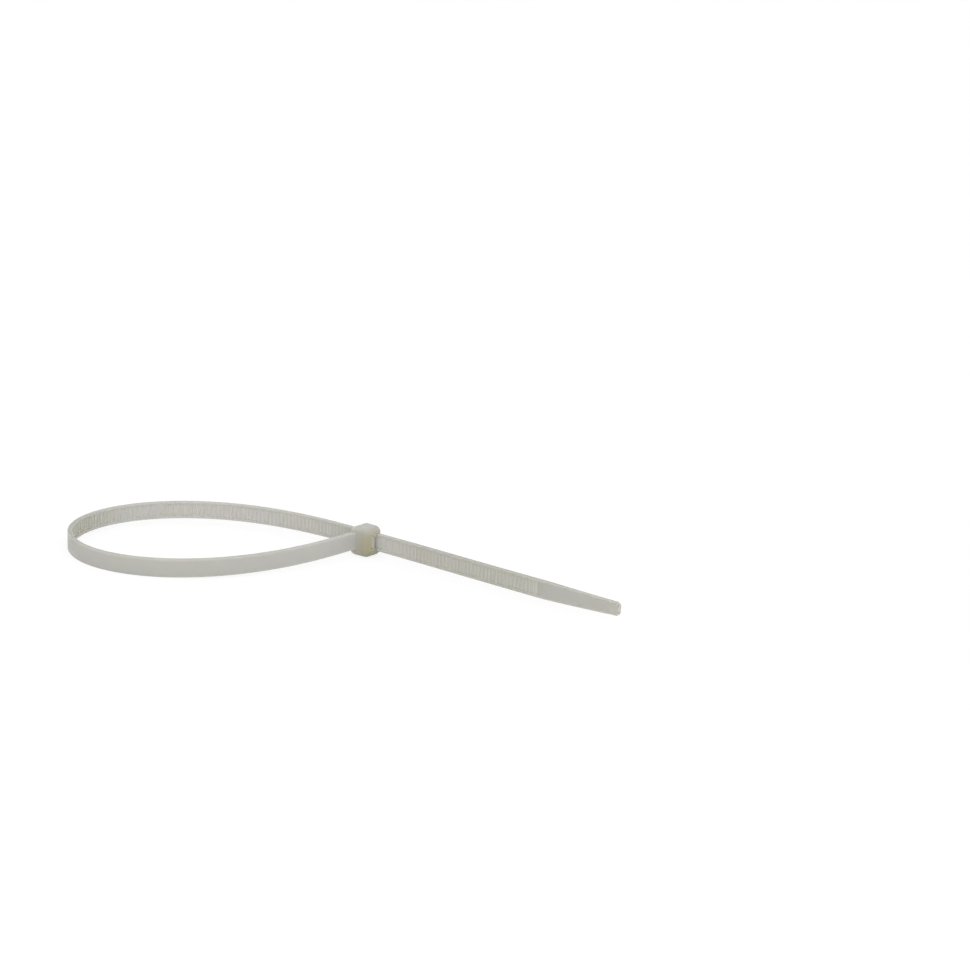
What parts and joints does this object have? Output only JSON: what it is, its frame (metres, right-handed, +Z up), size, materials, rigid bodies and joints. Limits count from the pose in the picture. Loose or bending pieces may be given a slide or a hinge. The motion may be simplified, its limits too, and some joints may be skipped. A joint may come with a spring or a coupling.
{
  "type": "cable tie",
  "caption": "Self-locking nylon strap closed into a wide teardrop loop through its square, dome-ended head, with a long tapered tail left on.",
  "frame": {"origin": "middle of the underside of the head", "axes": "+X along the head's slot, the way the tail leaves; +Y away from the strand that grows from the head; +Z up, with the tie at rest on its edge"},
  "size_m": [0.1476, 0.0653, 0.0081],
  "materials": {
    "natural_nylon": "satin, slightly translucent"
  },
  "bodies": {
    "root": {"cable_tie": "natural_nylon"}
  },
  "joints": []
}
